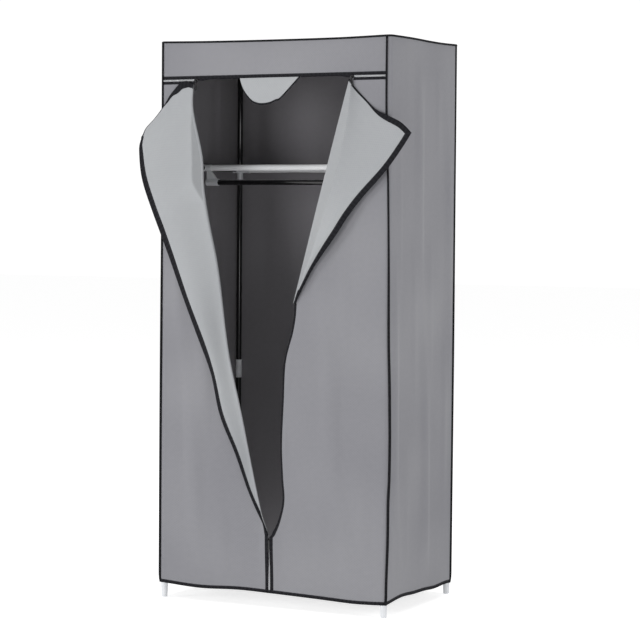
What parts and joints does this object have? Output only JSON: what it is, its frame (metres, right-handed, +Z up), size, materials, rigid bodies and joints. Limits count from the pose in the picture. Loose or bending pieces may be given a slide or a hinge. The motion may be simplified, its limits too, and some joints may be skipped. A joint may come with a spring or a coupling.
{
  "type": "portable fabric wardrobe",
  "caption": "Portable wardrobe: a zipped cloth cover over a steel tube frame, with a hanging rail and a cloth shelf behind an opening whose corners are folded out.",
  "frame": {"origin": "on the floor under the middle of the outer box, folded-out corners included, 16 mm in front of the middle of the feet", "axes": "+Z up, the opening faces -Y, +X to the right as one faces the opening"},
  "size_m": [0.866, 0.5002, 1.6],
  "materials": {
    "tube_steel": "gloss black powder coat on thin steel tube",
    "connector_plastic": "moulded light grey polypropylene",
    "cover_cloth": "grey spun-bonded nonwoven, outer face",
    "lining_cloth": "light grey inner face of the same nonwoven",
    "binding_tape": "black woven edge binding",
    "zip_chain": "light grey nylon coil zip",
    "zip_metal": "dark lacquered zinc slider"
  },
  "bodies": {
    "root": {"base_tube_back": "tube_steel", "base_tube_front": "tube_steel", "base_tube_left": "tube_steel", "base_tube_right": "tube_steel", "cover_back": "cover_cloth", "cover_header": "cover_cloth", "cover_left": "cover_cloth", "cover_right": "cover_cloth", "cover_top": "cover_cloth", "foot_connector_back_left": "connector_plastic", "foot_connector_back_right": "connector_plastic", "foot_connector_front_left": "connector_plastic", "foot_connector_front_right": "connector_plastic", "front_panel_left": "cover_cloth", "front_panel_right": "cover_cloth", "hanging_rail": "tube_steel", "header_tongue": "lining_cloth", "post_lower_back_left": "tube_steel", "post_lower_back_right": "tube_steel", "post_lower_front_left": "tube_steel", "post_lower_front_right": "tube_steel", "post_middle_back_left": "tube_steel", "post_middle_back_right": "tube_steel", "post_middle_front_left": "tube_steel", "post_middle_front_right": "tube_steel", "post_sleeve_back_left": "connector_plastic", "post_sleeve_back_right": "connector_plastic", "post_sleeve_front_left": "connector_plastic", "post_sleeve_front_right": "connector_plastic", "post_upper_back_left": "tube_steel", "post_upper_back_right": "tube_steel", "post_upper_front_left": "tube_steel", "post_upper_front_right": "tube_steel", "rail_bracket_left": "connector_plastic", "rail_bracket_right": "connector_plastic", "shelf_cloth": "lining_cloth", "shelf_connector_back_left": "connector_plastic", "shelf_connector_back_right": "connector_plastic", "shelf_connector_front_left": "connector_plastic", "shelf_connector_front_right": "connector_plastic", "shelf_tube_back": "tube_steel", "shelf_tube_left": "tube_steel", "shelf_tube_middle": "tube_steel", "shelf_tube_right": "tube_steel", "top_connector_back_left": "connector_plastic", "top_connector_back_right": "connector_plastic", "top_connector_front_left": "connector_plastic", "top_connector_front_right": "connector_plastic", "top_tube_back": "tube_steel", "top_tube_front": "tube_steel", "top_tube_left": "tube_steel", "top_tube_right": "tube_steel"},
    "left_flap": {"flap_left": "lining_cloth"},
    "right_flap": {"flap_right": "lining_cloth"},
    "left_slider": {"slider_left": "zip_metal"},
    "right_slider": {"slider_right": "zip_metal"},
    "centre_slider": {"slider_centre": "zip_metal"},
    "left_pull": {"pull_left": "zip_metal"},
    "right_pull": {"pull_right": "zip_metal"},
    "centre_pull": {"pull_centre": "zip_metal"}
  },
  "joints": [
    {"name": "left_flap_fold", "type": "hinge", "parent": "root", "child": "left_flap", "pos_m": [-0.24602, -0.21809, 1.49], "axis": [-0.188, 0, 0.9822], "range_deg": [0, 165]},
    {"name": "right_flap_fold", "type": "hinge", "parent": "root", "child": "right_flap", "pos_m": [0.24598, -0.21809, 1.49], "axis": [-0.2706, 0, -0.9627], "range_deg": [0, 165]},
    {"name": "left_slider_slide", "type": "slide", "parent": "root", "child": "left_slider", "axis": [1, 0, 0], "range_m": [-0.092, 0.234]},
    {"name": "right_slider_slide", "type": "slide", "parent": "root", "child": "right_slider", "axis": [-1, 0, 0], "range_m": [-0.092, 0.234]},
    {"name": "centre_slider_slide", "type": "slide", "parent": "root", "child": "centre_slider", "axis": [0, 0, 1], "range_m": [-0.13, 0]},
    {"name": "left_pull_swing", "type": "hinge", "parent": "left_slider", "child": "left_pull", "pos_m": [-0.24602, -0.22344, 1.49], "axis": [-1, 0, 0], "range_deg": [0, 160]},
    {"name": "right_pull_swing", "type": "hinge", "parent": "right_slider", "child": "right_pull", "pos_m": [0.24598, -0.22344, 1.49], "axis": [-1, 0, 0], "range_deg": [0, 160]},
    {"name": "centre_pull_swing", "type": "hinge", "parent": "centre_slider", "child": "centre_pull", "pos_m": [-0.00002, -0.22344, 0.192], "axis": [-1, 0, 0], "range_deg": [0, 160]}
  ]
}
